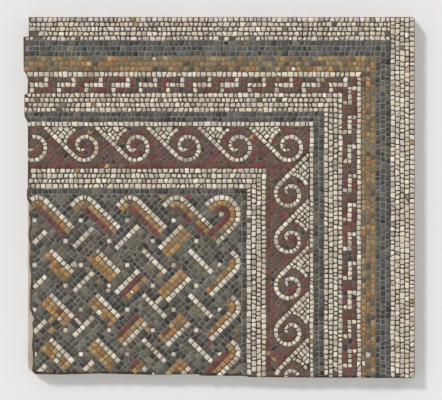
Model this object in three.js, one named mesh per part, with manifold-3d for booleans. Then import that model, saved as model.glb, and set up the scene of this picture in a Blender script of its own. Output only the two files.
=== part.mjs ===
// Mosaic panel: a square fragment of floor mosaic, lifted with its bed of mortar and
// backed by a plaster slab, so that it can hang on a wall or be let into one.
//
// Millimetres. X runs to the right, Z up, and the picture face looks along -Y.
// The origin is the middle of the flat back, which is what meets the wall.
//
// Two borders remain, along the top and down the right side. Their courses turn the
// upper right corner without a break. The left and lower edges are broken off.

import * as THREE from 'three';
import { mergeVertices } from 'three/addons/utils/BufferGeometryUtils.js';
import Module from 'manifold-3d';

const wasm = await Module();
wasm.setup();

// Driving dimensions of the panel

const PANEL_WIDTH = 982;
const PANEL_HEIGHT = 906;
const SLAB_THICKNESS = 24;
const BED_THICKNESS = 14;
const TESSERA_DEPTH = 12;
const RIM_OF_MORTAR = 1.6; // the bed shows this much outside the tesserae
const RIM_OF_SLAB = 1; // and the slab this much outside the bed
const CORNER_CHAMFER = 4; // the worn right-hand corners

// Colours

const WHITE_STONE = 0xd8d0c0;
const SCROLL_WHITE = 0xdcd5c6;
const SLATE = 0x4a4c4c;
const OCHRE = 0x9c7a44;
const DARK_RED = 0x74494a;
const SCROLL_RED = 0x64403f;
const GROUND_BROWN = 0x52544f;
const ORANGE = 0xa87c46;
const GREEN = 0x66695a;
const RED_OCHRE = 0x8a5440;
const PLASTER = 0xc4baa8;
const MORTAR = 0x5c564c;

// Joints

const JOINT = 2; // mortar between two courses
const JOINT_DEPTH = 1.5; // how far the mortar lies below the stone faces
const FIT_GAP = 0.3; // between any two pieces that lie against each other

// One course of stones in the scrolls, and one in the strands of the interlaced field

const COURSE = 11.9;
const STRAND_COURSE = 13.4;

// Running bands, counted from the outer edge. Each run was laid by eye, so the
// same band is a little wider along the top than down the side.

const BANDS = [
  { name: 'outer_white_border', courses: 5, top: 58.5, side: 60, colour: WHITE_STONE },
  { name: 'outer_slate_band', courses: 3, top: 38.5, side: 37.5, colour: SLATE },
  { name: 'ochre_band', courses: 3, top: 38.5, side: 35, colour: OCHRE },
  { name: 'outer_white_fillet', courses: 1, top: 14, side: 11.5, colour: WHITE_STONE },
  { name: 'stepped_fillet', courses: 3, top: 39, side: 35, colour: DARK_RED },
  { name: 'middle_white_band', courses: 4, top: 48.5, side: 47.5, colour: WHITE_STONE },
  { name: 'inner_slate_band', courses: 2, top: 23.5, side: 25, colour: SLATE },
  { name: 'scroll_fillet', courses: 1, top: 12.5, side: 10.5, colour: SCROLL_WHITE },
  { name: 'scroll_ground', courses: 1, top: 104, side: 108, colour: SCROLL_RED },
  { name: 'inner_white_band', courses: 4, top: 51.5, side: 50, colour: WHITE_STONE },
  { name: 'field_slate_line', courses: 1, top: 13.5, side: 11.5, colour: SLATE },
];

// Stepped fillet: white dashes between two dark courses. One white tessera at each end
// of a dash links it to the white course outside, or to the one inside.

const STEP_PITCH = { top: 68, side: 73 };
const STEP_DASH = 48;
const STEP_START = 22; // from the fillet's corner to the first dash

// Wave scroll

const SCROLL_LINE = 11.6; // width of the white line
const SCROLL_RADIUS = 33; // from the eye to the middle of the line, at its widest
const SCROLL_EYE_DEPTH = 51.5; // from the scroll fillet to the eye
const SCROLL_TURN = 370; // degrees of winding, from below the eye to the line's end
const SCROLL_WIND_END = 400; // degrees at which the line would reach the eye
const SCROLL_WIND_POWER = 2; // how late the line turns inwards
const SCROLL_STEP = 27; // degrees a step of the winding
const SCROLL_ROOT = 1; // the line and its field reach this far into the fillet
const FIELD_RADIUS = 45; // the white field before a scroll stops short of it here
const FIELD_END = 24; // and reaches this far along the fillet, before the eye
const FIELD_STEP = 16; // degrees a step of the field's hollow side
const SCROLL_PITCH_TOP = 128;
const SCROLL_PITCH_SIDE = 115.5;

// Interlaced field: strands cross at 45 degrees, each over and under in turn. The
// places are counted from the field's upper right corner.

const STRAND_COURSES = 3; // a white course and two coloured ones
const STRAND_LENGTH = 82; // seen between the two strands that pass over it
const FALLING = { across: 112.5, down: 66, pitch: 115.8 };
const RISING = { across: 59, down: 117.5, pitch: 109 };
const SIDE_LOOP_RISE = 14; // the side loops lie this much above their row
const STRAND_PITCH_DOWN = 111.5;
const LEFT_STRAND_LENGTHS = [44, 70]; // rising strands squeezed at the left edge
const LOOP_RADIUS = 25; // from the bend's centre to the middle of the white course
const LOOP_LEG = { top: 22, side: 16 }; // what shows of the strand before the bend
const LOOP_CLEARANCE = 1; // from the white course to the edge of the field
const CORNER_LOOP_RADIUS = 43;
const CORNER_LOOP_LEGS = [12, 60];
const LOOP_STEPS = 4; // flats in a bend

// The broken left edge of the mosaic: how far down each point lies, as a share of the
// panel's height, and how far it lies inside the farthest tessera

const BROKEN_LEFT = [
  [0, 13.5], [0.053, 13.5], [0.055, 0], [0.148, 0.5], [0.157, 7], [0.173, 11.5],
  [0.211, 10], [0.215, 2.5], [0.273, 2.5], [0.292, 11], [0.474, 11], [0.479, 8.5],
  [0.503, 9], [0.519, 18], [0.545, 14], [0.565, 17], [0.603, 12.5], [0.631, 17],
  [0.678, 15], [0.715, 19.5], [0.755, 17], [0.807, 15.5], [0.836, 28], [0.844, 22],
  [0.866, 24.5], [0.907, 21.5], [0.948, 24.5], [0.978, 22],
];

// The broken lower edge: how far along each point lies, as a share of the panel's
// width from the farthest tessera, and how far above the panel's foot

const BROKEN_FOOT = [
  [0.031, 9.5], [0.094, 8.5], [0.193, 11], [0.326, 8], [0.446, 9.5], [0.454, 5.5],
  [0.566, 5], [0.578, 2], [0.908, 0],
];

// The slab's own edge: it follows the break above and is trimmed straight below

const SLAB_TRIM = 11.5; // from the farthest tessera to the trimmed edge
const SLAB_TRIM_START = 0.29; // how far down it starts, as a share of the height
const SLAB_CHIP = 16; // the lost lower left corner

// Places that follow from these

const rightEdge = PANEL_WIDTH / 2 - RIM_OF_SLAB - RIM_OF_MORTAR;
const topEdge = PANEL_HEIGHT / 2 - RIM_OF_SLAB - RIM_OF_MORTAR;
const leftEdge = -PANEL_WIDTH / 2 + RIM_OF_SLAB + RIM_OF_MORTAR;
const footEdge = -PANEL_HEIGHT / 2 + RIM_OF_SLAB + RIM_OF_MORTAR;
const slabFront = -SLAB_THICKNESS;
const bedFront = slabFront - FIT_GAP - BED_THICKNESS;
const stoneBack = bedFront - FIT_GAP;
const stoneFace = stoneBack - TESSERA_DEPTH;
const BEYOND = 60; // how far a run reaches past the panel before it is broken off

const panel = new THREE.Group();

// Solids

function solidFrom(geometry) {
  geometry.deleteAttribute('normal');
  geometry.deleteAttribute('uv');
  const merged = mergeVertices(geometry, 1e-4);
  return new wasm.Manifold(
    new wasm.Mesh({
      numProp: 3,
      vertProperties: new Float32Array(merged.attributes.position.array),
      triVerts: new Uint32Array(merged.index.array),
    }),
  );
}

// A plate with the given outline in X and Z, from back to front along -Y
function plate(outline, back, front) {
  const shape = new THREE.Shape(outline.map(([x, z]) => new THREE.Vector2(x, z)));
  const geometry = new THREE.ExtrudeGeometry(shape, {
    depth: back - front,
    bevelEnabled: false,
    steps: 1,
  });
  geometry.rotateX(Math.PI / 2);
  geometry.translate(0, back, 0);
  return solidFrom(geometry);
}

function stonePlate(outline) {
  return plate(outline, stoneBack, stoneFace);
}

// A cutter that leaves a joint in the stone faces
function jointPlate(outline) {
  return plate(outline, stoneFace + JOINT_DEPTH, stoneFace - JOINT_DEPTH);
}

function joined(solids) {
  return wasm.Manifold.union(solids);
}

function addMesh(name, solid, colour, roughness) {
  const mesh = solid.getMesh();
  const geometry = new THREE.BufferGeometry();
  const positions = new THREE.BufferAttribute(mesh.vertProperties, mesh.numProp);
  geometry.setAttribute('position', positions);
  geometry.setIndex(new THREE.BufferAttribute(mesh.triVerts, 1));
  geometry.computeVertexNormals();
  const material = new THREE.MeshStandardMaterial({
    color: colour,
    roughness,
    metalness: 0,
  });
  const object = new THREE.Mesh(geometry, material);
  object.name = name;
  panel.add(object);
}

const STONE_ROUGHNESS = 0.6;
const MORTAR_ROUGHNESS = 0.9;
const CRUMB = COURSE * COURSE * TESSERA_DEPTH; // anything under one tessera is lost

// What the broken edge cuts off from the rest is a piece of its own
function addStone(name, solid, colour) {
  const parts = solid.decompose().filter((part) => part.volume() > CRUMB);
  parts.sort((a, b) => b.volume() - a.volume());
  parts.forEach((part, index) => {
    const pieceName = index === 0 ? name : `${name}_cut_off_${index}`;
    addMesh(pieceName, part, colour, STONE_ROUGHNESS);
  });
}

// Outlines

// The corners at the right, and the broken foot that leads to them
function soundEdges(right, top, foot, left, breaks) {
  const base = breaks.map(([along, up]) => [left + along * PANEL_WIDTH, foot + up]);
  return [
    ...base,
    [right - CORNER_CHAMFER, foot],
    [right, foot + CORNER_CHAMFER],
    [right, top - CORNER_CHAMFER],
    [right - CORNER_CHAMFER, top],
  ];
}

function brokenSide(left, top, breaks) {
  return breaks.map(([down, inset]) => [left + inset, top - down * PANEL_HEIGHT]);
}

// The mosaic's outline, grown by some mortar
function mosaicOutline(growth) {
  const [left, right] = [leftEdge - growth, rightEdge + growth];
  const [foot, top] = [footEdge - growth, topEdge + growth];
  return [
    ...brokenSide(left, top, BROKEN_LEFT),
    ...soundEdges(right, top, foot, left, BROKEN_FOOT),
  ];
}

function slabOutline() {
  const growth = RIM_OF_MORTAR + RIM_OF_SLAB;
  const [left, right] = [leftEdge - growth, rightEdge + growth];
  const [foot, top] = [footEdge - growth, topEdge + growth];
  const upper = BROKEN_LEFT.filter(([down]) => down < SLAB_TRIM_START);
  const [[, chipFoot], ...rest] = BROKEN_FOOT;
  return [
    ...brokenSide(left, top, upper),
    [left + SLAB_TRIM, top - SLAB_TRIM_START * PANEL_HEIGHT],
    [left + SLAB_TRIM, foot + chipFoot + SLAB_CHIP],
    [left + SLAB_TRIM + SLAB_CHIP, foot + chipFoot],
    ...soundEdges(right, top, foot, left, rest),
  ];
}

// A run that follows both borders: along the top, round the corner and down the side,
// between two distances from the top edge and two from the right edge
function cornerRun(topOuter, topInner, sideOuter, sideInner) {
  const start = leftEdge - BEYOND;
  const end = footEdge - BEYOND;
  return [
    [start, topEdge - topOuter],
    [rightEdge - sideOuter, topEdge - topOuter],
    [rightEdge - sideOuter, end],
    [rightEdge - sideInner, end],
    [rightEdge - sideInner, topEdge - topInner],
    [start, topEdge - topInner],
  ];
}

const brokenStone = stonePlate(mosaicOutline(0));

// Slab and bed

addMesh('backing_slab', plate(slabOutline(), 0, slabFront), PLASTER, MORTAR_ROUGHNESS);
const bed = plate(mosaicOutline(RIM_OF_MORTAR), slabFront - FIT_GAP, bedFront);
addMesh('mortar_bed', bed, MORTAR, MORTAR_ROUGHNESS);

// Bands

const placed = {};
let topReach = 0;
let sideReach = 0;
for (const band of BANDS) {
  placed[band.name] = { ...band, topReach, sideReach };
  topReach += band.top;
  sideReach += band.side;
}
const fieldCorner = [rightEdge - sideReach, topEdge - topReach];

function bandPlate(name) {
  const { topReach: topFrom, sideReach: sideFrom, top, side } = placed[name];
  const half = FIT_GAP / 2;
  return stonePlate(
    cornerRun(topFrom + half, topFrom + top - half, sideFrom + half, sideFrom + side - half),
  );
}

// The joints along a band, between its courses and at both of its edges
function courseJoints(name) {
  const { topReach: topFrom, sideReach: sideFrom, top, side, courses } = placed[name];
  const half = JOINT / 2;
  const cuts = [];
  for (let line = 0; line <= courses; line += 1) {
    const fromTop = topFrom + (top * line) / courses;
    const fromSide = sideFrom + (side * line) / courses;
    cuts.push(
      jointPlate(
        cornerRun(fromTop - half, fromTop + half, fromSide - half, fromSide + half),
      ),
    );
  }
  return joined(cuts);
}

function brokenBand(name, cuts) {
  return bandPlate(name).subtract(cuts).intersect(brokenStone);
}

const plainBands = BANDS.filter(
  ({ name }) => !['stepped_fillet', 'scroll_fillet', 'scroll_ground'].includes(name),
);
for (const { name, colour } of plainBands) {
  addStone(name, brokenBand(name, courseJoints(name)), colour);
}

// Stepped fillet

// Where a point of a border lies: how far from the border's corner, and how far in
// from the panel's edge
function onTop(name, along, inwards) {
  return [rightEdge - placed[name].sideReach - along, topEdge - inwards];
}

function onSide(name, along, inwards) {
  return [rightEdge - inwards, topEdge - placed[name].topReach - along];
}

// A cross joint in the stepped fillet, over some of its courses
function stepJoint(place, along, reach, width, from, to) {
  const half = JOINT / 2;
  const course = width / placed.stepped_fillet.courses;
  const outer = reach + from * course;
  const inner = reach + to * course;
  const corners = [
    [along - half, outer],
    [along + half, outer],
    [along + half, inner],
    [along - half, inner],
  ];
  return jointPlate(corners.map(([x, y]) => place('stepped_fillet', x, y)));
}

// The joints round each dash and its two links: the link that is nearer the corner
// goes to the outside, and the other one to the inside
function stepJoints(place, reach, width, length, pitch) {
  const cuts = [];
  for (let near = STEP_START; near + STEP_DASH < length; near += pitch) {
    const far = near + STEP_DASH;
    cuts.push(stepJoint(place, near, reach, width, 0, 2));
    cuts.push(stepJoint(place, near + COURSE, reach, width, 0, 1));
    cuts.push(stepJoint(place, far - COURSE, reach, width, 2, 3));
    cuts.push(stepJoint(place, far, reach, width, 1, 3));
  }
  return cuts;
}

const steps = placed.stepped_fillet;
const topRun = rightEdge - leftEdge - steps.sideReach;
const sideRun = topEdge - footEdge - steps.topReach;
const stepCuts = joined([
  courseJoints('stepped_fillet'),
  ...stepJoints(onTop, steps.topReach, steps.top, topRun, STEP_PITCH.top),
  ...stepJoints(onSide, steps.sideReach, steps.side, sideRun, STEP_PITCH.side),
]);
addStone('stepped_fillet', brokenBand('stepped_fillet', stepCuts), steps.colour);

// Wave scroll

const DEGREE = Math.PI / 180;

// The middle of a scroll's line, from the fillet to the line's end, about an eye at
// the origin: along the run, and inwards. The line falls at 45 degrees until it meets
// the winding, which starts below the eye and turns inwards ever faster.
function scrollLine() {
  const touch = SCROLL_RADIUS * Math.SQRT1_2;
  const fall = SCROLL_EYE_DEPTH + touch + SCROLL_ROOT;
  const points = [[-touch - fall, touch - fall]];
  for (let angle = -45; angle < SCROLL_TURN; angle += SCROLL_STEP) {
    const share = Math.max(angle, 0) / SCROLL_WIND_END;
    const radius = SCROLL_RADIUS * (1 - share ** SCROLL_WIND_POWER);
    points.push([radius * Math.sin(angle * DEGREE), radius * Math.cos(angle * DEGREE)]);
  }
  return points;
}

// A ribbon of even width along a line of points
function ribbon(points, width) {
  const sides = [[], []];
  points.forEach(([x, y], index) => {
    const [beforeX, beforeY] = points[Math.max(index - 1, 0)];
    const [afterX, afterY] = points[Math.min(index + 1, points.length - 1)];
    const length = Math.hypot(afterX - beforeX, afterY - beforeY);
    const acrossX = (-(afterY - beforeY) / length) * (width / 2);
    const acrossY = ((afterX - beforeX) / length) * (width / 2);
    sides[0].push([x + acrossX, y + acrossY]);
    sides[1].unshift([x - acrossX, y - acrossY]);
  });
  return [...sides[0], ...sides[1]];
}

// The white field between the falling line and the scroll that it runs into
function scrollField(growth) {
  const radius = FIELD_RADIUS - growth;
  const end = FIELD_END - growth;
  const [lineStart, rootDepth] = scrollLine()[0];
  const points = [
    [lineStart, rootDepth],
    [-end, rootDepth],
  ];
  const steepest = Math.asin(end / radius) / DEGREE;
  for (let angle = steepest; angle < 90; angle += FIELD_STEP) {
    points.push([-radius * Math.sin(angle * DEGREE), -radius * Math.cos(angle * DEGREE)]);
  }
  points.push([-radius, rootDepth - radius - lineStart]);
  return points;
}

// Every scroll and field, from the corner outwards to the broken edges
function scrollPlates(growth) {
  const line = ribbon(scrollLine(), SCROLL_LINE + 2 * growth);
  const field = scrollField(growth);
  const cornerEye = [
    rightEdge - placed.scroll_ground.sideReach - SCROLL_EYE_DEPTH,
    topEdge - placed.scroll_ground.topReach - SCROLL_EYE_DEPTH,
  ];
  const plates = [];
  for (let x = cornerEye[0]; x > leftEdge - SCROLL_RADIUS; x -= SCROLL_PITCH_TOP) {
    for (const outline of [line, field]) {
      plates.push(stonePlate(outline.map(([s, t]) => [x + s, cornerEye[1] - t])));
    }
  }
  const sideStart = cornerEye[1] - SCROLL_PITCH_SIDE;
  for (let z = sideStart; z > footEdge - SCROLL_RADIUS; z -= SCROLL_PITCH_SIDE) {
    for (const outline of [line, field]) {
      plates.push(stonePlate(outline.map(([s, t]) => [cornerEye[0] - t, z - s])));
    }
  }
  return joined(plates);
}

// The scrolls and their fields hang from the fillet, as one run of white stone
function scrollBand() {
  const { topReach: topFrom, sideReach: sideFrom } = placed.scroll_fillet;
  const { topReach: topTo, sideReach: sideTo, top, side } = placed.scroll_ground;
  const half = FIT_GAP / 2;
  return stonePlate(
    cornerRun(topFrom + half, topTo + top - half, sideFrom + half, sideTo + side - half),
  );
}

const scrolls = bandPlate('scroll_fillet').add(scrollPlates(0)).intersect(scrollBand());
addStone('wave_scrolls', scrolls.intersect(brokenStone), placed.scroll_fillet.colour);

const ground = brokenBand('scroll_ground', scrollPlates(FIT_GAP));
addStone('scroll_ground', ground, placed.scroll_ground.colour);

// Interlaced field

const STRAND_WIDTH = STRAND_COURSES * STRAND_COURSE;
const DIAGONAL = Math.SQRT1_2;

function fieldPoint(across, down) {
  return [fieldCorner[0] - across, fieldCorner[1] - down];
}

// Directions along the strands, as X and Z
const FALL_WAY = [DIAGONAL, -DIAGONAL];
const RISE_WAY = [DIAGONAL, DIAGONAL];

// A stretch of strand, between two distances from its middle line
function stretch([x, z], [wayX, wayZ], length, from, to) {
  const half = length / 2;
  const corner = (along, across) => [
    x + wayX * along - wayZ * across,
    z + wayZ * along + wayX * across,
  ];
  return [corner(-half, from), corner(half, from), corner(half, to), corner(-half, to)];
}

function straightStrand(centre, way, length) {
  return (from, to, growth) => stretch(centre, way, length + 2 * growth, from, to);
}

// A bent strand: a leg, a bend about a centre, and a second leg. Angles are counted
// from +X towards +Z, and the strand runs clockwise.
function bentStrand([x, z], startAngle, turn, legs, radius) {
  const edge = (r, growth) => {
    const way = (angle) => [Math.cos(angle * DEGREE), Math.sin(angle * DEGREE)];
    const endAngle = startAngle - turn;
    const [startX, startZ] = way(startAngle);
    const [endX, endZ] = way(endAngle);
    const legIn = legs[0] + growth;
    const legOut = legs[1] + growth;
    const points = [[x + r * startX - legIn * startZ, z + r * startZ + legIn * startX]];
    if (r > 0) {
      for (let step = 0; step <= LOOP_STEPS; step += 1) {
        const [wayX, wayZ] = way(startAngle - (turn * step) / LOOP_STEPS);
        points.push([x + r * wayX, z + r * wayZ]);
      }
    } else {
      points.push([x + r * (startX + endX), z + r * (startZ + endZ)]);
    }
    points.push([x + r * endX + legOut * endZ, z + r * endZ - legOut * endX]);
    return points;
  };
  const middle = radius - STRAND_COURSE;
  return (from, to, growth) => [
    ...edge(middle + to, growth),
    ...edge(middle + from, growth).reverse(),
  ];
}

const strands = [];

function addStrand(name, outline, colour) {
  strands.push({ name, outline, colour });
}

// How many strands of a family start within the field
function countWithin(first, pitch, length) {
  return Math.max(1, Math.ceil((length - first) / pitch));
}

const fieldWidth = fieldCorner[0] - leftEdge;
const fieldHeight = fieldCorner[1] - footEdge;

// How far the middle of a bend lies inside the edges that its white course runs along
function bendInset(radius) {
  return radius + STRAND_COURSE / 2 + LOOP_CLEARANCE;
}

// A strand that turns back at the field's edge. It meets the edge on its way out, and
// its middle lies that far inside the edge.
function edgeLoop([x, z], wayOut, room, leg) {
  const turn = LOOP_RADIUS - STRAND_COURSE;
  const straight = (room - bendInset(LOOP_RADIUS)) / DIAGONAL + turn;
  const outX = Math.cos(wayOut * DEGREE);
  const outZ = Math.sin(wayOut * DEGREE);
  const bend = [x + outX * straight - outZ * turn, z + outZ * straight + outX * turn];
  return bentStrand(bend, wayOut, 90, [leg, straight + STRAND_LENGTH / 2], LOOP_RADIUS);
}

// Top loops, and the falling strands below them
const fallingColumns = countWithin(FALLING.across, FALLING.pitch, fieldWidth);
const fallingRows = countWithin(FALLING.down, STRAND_PITCH_DOWN, fieldHeight);
for (let column = 0; column < fallingColumns; column += 1) {
  const across = FALLING.across + FALLING.pitch * column;
  const colour = column < fallingColumns / 2 ? GREEN : ORANGE;
  for (let row = 0; row < fallingRows; row += 1) {
    const centre = fieldPoint(across, FALLING.down + STRAND_PITCH_DOWN * row);
    if (row === 0) {
      const loop = edgeLoop(centre, 135, FALLING.down, LOOP_LEG.top);
      addStrand(`top_loop_${column + 1}`, loop, RED_OCHRE);
    } else {
      const outline = straightStrand(centre, FALL_WAY, STRAND_LENGTH);
      addStrand(`falling_strand_${row}_${column + 1}`, outline, colour);
    }
  }
}

// The corner loop turns right round
const cornerInset = bendInset(CORNER_LOOP_RADIUS);
const cornerBend = fieldPoint(cornerInset, cornerInset);
const cornerLoop = bentStrand(cornerBend, 135, 180, CORNER_LOOP_LEGS, CORNER_LOOP_RADIUS);
addStrand('corner_loop', cornerLoop, RED_OCHRE);

// Side loops, and the rising strands to their left
const risingColumns = countWithin(RISING.across, RISING.pitch, fieldWidth);
const risingRows = countWithin(RISING.down, STRAND_PITCH_DOWN, fieldHeight);
for (let column = 0; column < risingColumns; column += 1) {
  const across = RISING.across + RISING.pitch * column;
  const fromLeft = risingColumns - 1 - column;
  const length = LEFT_STRAND_LENGTHS[fromLeft] ?? STRAND_LENGTH;
  const colour = column === 1 ? ORANGE : GREEN;
  for (let row = 0; row < risingRows; row += 1) {
    const centre = fieldPoint(across, RISING.down + STRAND_PITCH_DOWN * row);
    if (column > 0) {
      const outline = straightStrand(centre, RISE_WAY, length);
      addStrand(`rising_strand_${row + 1}_${column}`, outline, colour);
    } else if (row > 0) {
      const raised = [centre[0], centre[1] + SIDE_LOOP_RISE];
      const loop = edgeLoop(raised, 45, RISING.across, LOOP_LEG.side);
      addStrand(`side_loop_${row}`, loop, ORANGE);
    }
  }
}

const fieldPlate = stonePlate([
  [leftEdge - BEYOND, fieldCorner[1] - FIT_GAP / 2],
  [fieldCorner[0] - FIT_GAP / 2, fieldCorner[1] - FIT_GAP / 2],
  [fieldCorner[0] - FIT_GAP / 2, footEdge - BEYOND],
  [leftEdge - BEYOND, footEdge - BEYOND],
]).intersect(brokenStone);

// A later strand stops where it would run into an earlier one
const OVERCUT = 1; // joints are cut clean through a strand's ends
const halfStrand = STRAND_WIDTH / 2;
let strandHoles = joined([]);
for (const { name, outline, colour } of strands) {
  const cuts = [];
  for (let line = 1; line < STRAND_COURSES; line += 1) {
    const at = -halfStrand + line * STRAND_COURSE;
    cuts.push(jointPlate(outline(at - JOINT / 2, at + JOINT / 2, OVERCUT)));
  }
  const whole = stonePlate(outline(-halfStrand, halfStrand, 0));
  const strand = whole.subtract(strandHoles).intersect(fieldPlate);
  addStone(name, strand.subtract(joined(cuts)), colour);
  const grown = outline(-halfStrand - FIT_GAP, halfStrand + FIT_GAP, FIT_GAP);
  strandHoles = strandHoles.add(stonePlate(grown));
}
addStone('field_ground', fieldPlate.subtract(strandHoles), GROUND_BROWN);

export default panel;
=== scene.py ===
# %% [markdown]
# # A floor mosaic, laid stone by stone
#
# The real thing is a square fragment of a stone floor, about a metre across. Its face
# is some five and a half thousand tesserae: cubes of limestone, slate and coloured
# marble, split with a hammer and set by hand into wet mortar. When the floor was lifted,
# it was backed with a slab of plaster, so that it can hang on a wall.
#
# A picture of a mosaic is flat. Here each tessera is cut and set in its own place, as
# the mosaicist did, because the joints, the worn edges and the slightly uneven faces
# are what the eye takes for stone.

# %% The measured model
import math
import random
from collections import namedtuple

import bpy
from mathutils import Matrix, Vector, kdtree, noise
from mathutils.geometry import tessellate_polygon


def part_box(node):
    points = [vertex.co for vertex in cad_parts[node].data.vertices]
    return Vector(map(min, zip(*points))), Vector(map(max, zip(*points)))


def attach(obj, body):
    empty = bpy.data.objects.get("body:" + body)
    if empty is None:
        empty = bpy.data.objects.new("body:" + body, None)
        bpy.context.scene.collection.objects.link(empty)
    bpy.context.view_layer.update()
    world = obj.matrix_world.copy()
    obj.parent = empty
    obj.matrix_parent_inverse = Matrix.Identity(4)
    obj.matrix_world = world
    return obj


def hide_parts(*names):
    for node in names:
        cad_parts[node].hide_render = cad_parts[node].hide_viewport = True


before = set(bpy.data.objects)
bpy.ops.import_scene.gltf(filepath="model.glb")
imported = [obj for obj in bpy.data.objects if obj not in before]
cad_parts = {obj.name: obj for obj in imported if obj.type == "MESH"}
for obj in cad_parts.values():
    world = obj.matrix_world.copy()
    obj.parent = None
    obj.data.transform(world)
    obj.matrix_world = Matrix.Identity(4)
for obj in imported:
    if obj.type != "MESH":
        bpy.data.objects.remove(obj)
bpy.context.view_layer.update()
print("pieces in the measured model:", len(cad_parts))

# %% [markdown]
# ## Measures
#
# Everything below is in millimetres, X to the right and Z up, until a mesh is made. The
# slab, the bed and every band of courses are read from the measured model, so each
# stone lies where the model has its band.

# %% Depths and edges
MM = 0.001


def box_in_mm(node):
    low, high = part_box(node)
    return low / MM, high / MM


slab_low = box_in_mm("backing_slab")[0]
bed_high = box_in_mm("mortar_bed")[1]
border_low, border_high = box_in_mm("outer_white_border")
field_high = box_in_mm("field_ground")[1]

FIT_GAP = 0.3  # between two neighbouring pieces of the model
STONE_BACK = border_high.y
STONE_FACE = border_low.y
BED_RIM = bed_high.x - border_high.x  # how far the bed shows outside the stones
SLAB_RIM = 1  # and the slab outside the bed
RIGHT = border_high.x + FIT_GAP / 2
TOP = border_high.z + FIT_GAP / 2
LEFT = slab_low.x
FOOT = slab_low.z
BEYOND = 40  # courses are laid past the broken edges, then broken off
COURSE = 11.9  # a common course of stones
STRAND_COURSE = 13.4  # and one in the strands of the interlaced field
print("stone faces at", round(STONE_FACE, 2), "right edge at", round(RIGHT, 2))

# %% Course lines
# Each band's outer line along the top and down the side, and its number of courses
BANDS = [
    ("outer_white_border", 5),
    ("outer_slate_band", 3),
    ("ochre_band", 3),
    ("outer_white_fillet", 1),
    ("stepped_fillet", 3),
    ("middle_white_band", 4),
    ("inner_slate_band", 2),
    ("wave_scrolls", 1),
    ("scroll_ground", 1),
    ("inner_white_band", 4),
    ("field_slate_line", 1),
    ("field_ground", 0),
]
RED_LINE = 10.5  # the dark red course along the inside of the scrolls

depths = {"top": [], "side": []}
first_line = {}
for (name, courses), (inner_name, _) in zip(BANDS, BANDS[1:]):
    outer = box_in_mm(name)[1]
    inner = box_in_mm(inner_name)[1]
    first_line[name] = len(depths["top"])
    for run, edge, start, end in (
        ("top", TOP, outer.z, inner.z),
        ("side", RIGHT, outer.x, inner.x),
    ):
        reach = edge - start - FIT_GAP / 2
        width = start - end
        if name == "scroll_ground":
            depths[run] += [reach, reach + width - RED_LINE]
        else:
            depths[run] += [reach + width * k / courses for k in range(courses)]
depths["top"].append(TOP - field_high.z - FIT_GAP / 2)
depths["side"].append(RIGHT - field_high.x - FIT_GAP / 2)
first_line["field_ground"] = len(depths["top"]) - 1
print("course lines:", [round(d, 1) for d in depths["top"]])

# %% [markdown]
# ## Stones as outlines
#
# A tessera starts as a cell: the space it fills with its share of the joints. Then the
# joint comes off all round, the corners are knocked off, and the broken edge of the
# floor cuts away what lies beyond it. Cells are convex, so one cut along a straight
# line is all that the tools below need, which is also what a hammer does.

# %% Cutting
chance = random.Random(11)


def sides(outline):
    """Each side of an outline, as the two points at its ends."""
    return zip(outline, outline[1:] + outline[:1])


def cut(outline, x, z, away_x, away_z):
    """What is left of a convex outline on the near side of a line through x, z."""
    kept = []
    for (ax, az), (bx, bz) in sides(outline):
        a = (ax - x) * away_x + (az - z) * away_z
        b = (bx - x) * away_x + (bz - z) * away_z
        if a <= 0:
            kept.append((ax, az))
        if a * b < 0:
            share = a / (a - b)
            kept.append((ax + (bx - ax) * share, az + (bz - az) * share))
    return kept


def area_and_middle(outline):
    doubled = middle_x = middle_z = 0.0
    for (ax, az), (bx, bz) in sides(outline):
        cross = ax * bz - bx * az
        doubled += cross
        middle_x += (ax + bx) * cross
        middle_z += (az + bz) * cross
    if abs(doubled) < 1e-6:
        return 0.0, outline[0] if outline else (0.0, 0.0)
    return doubled / 2, (middle_x / doubled / 3, middle_z / doubled / 3)


def shrunk(outline, by):
    """The outline with a strip of that width off each side."""
    left = outline
    for (ax, az), (bx, bz) in sides(outline):
        length = math.hypot(bx - ax, bz - az)
        if length > 1e-6 and left:
            out_x, out_z = (bz - az) / length, -(bx - ax) / length
            left = cut(left, ax - out_x * by, az - out_z * by, out_x, out_z)
    return left


STRAIGHT = 0.05  # a corner that stands out less than this is no corner
MOST_KNOCK = 0.45  # of a side's length that one knocked corner may take


def knocked(outline, least, most, share):
    """The outline with a share of its corners knocked off."""
    left = outline
    count = len(outline)
    for i, (x, z) in enumerate(outline):
        if chance.random() > share:
            continue
        before, after = outline[i - 1], outline[(i + 1) % count]
        marks = []
        for px, pz in (before, after):
            length = max(math.hypot(px - x, pz - z), 1e-6)
            reach = min(chance.uniform(least, most), MOST_KNOCK * length)
            marks.append((x + (px - x) / length * reach, z + (pz - z) / length * reach))
        (ax, az), (bx, bz) = marks
        away_x, away_z = bz - az, ax - bx
        height = (x - ax) * away_x + (z - az) * away_z
        if height < 0:
            away_x, away_z = -away_x, -away_z
        if left and abs(height) > STRAIGHT * math.hypot(away_x, away_z):
            left = cut(left, ax, az, away_x, away_z)
    return left


NO_SIDE = 3e-5  # mm: a side this short is only rounding


def nearest_between(a, b, x, z):
    """The point between a and b that is nearest to x, z, and how far it is."""
    (ax, az), (bx, bz) = a, b
    along_x, along_z = bx - ax, bz - az
    length = along_x * along_x + along_z * along_z
    share = max(0.0, min(1.0, ((x - ax) * along_x + (z - az) * along_z) / length))
    px, pz = ax + along_x * share, az + along_z * share
    return px, pz, math.hypot(x - px, z - pz)


def nearest_on(outline, x, z):
    """The point of an outline that is nearest to x, z, and how far it is. The distance
    is negative inside."""
    best = None
    inside = True
    for a, b in sides(outline):
        if math.dist(a, b) < NO_SIDE:
            continue
        found = nearest_between(a, b, x, z)
        if best is None or found[2] < best[2]:
            best = found
        if (x - a[0]) * (b[1] - a[1]) - (z - a[1]) * (b[0] - a[0]) > 0:
            inside = False
    px, pz, gap = best
    return px, pz, -gap if inside else gap


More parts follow.
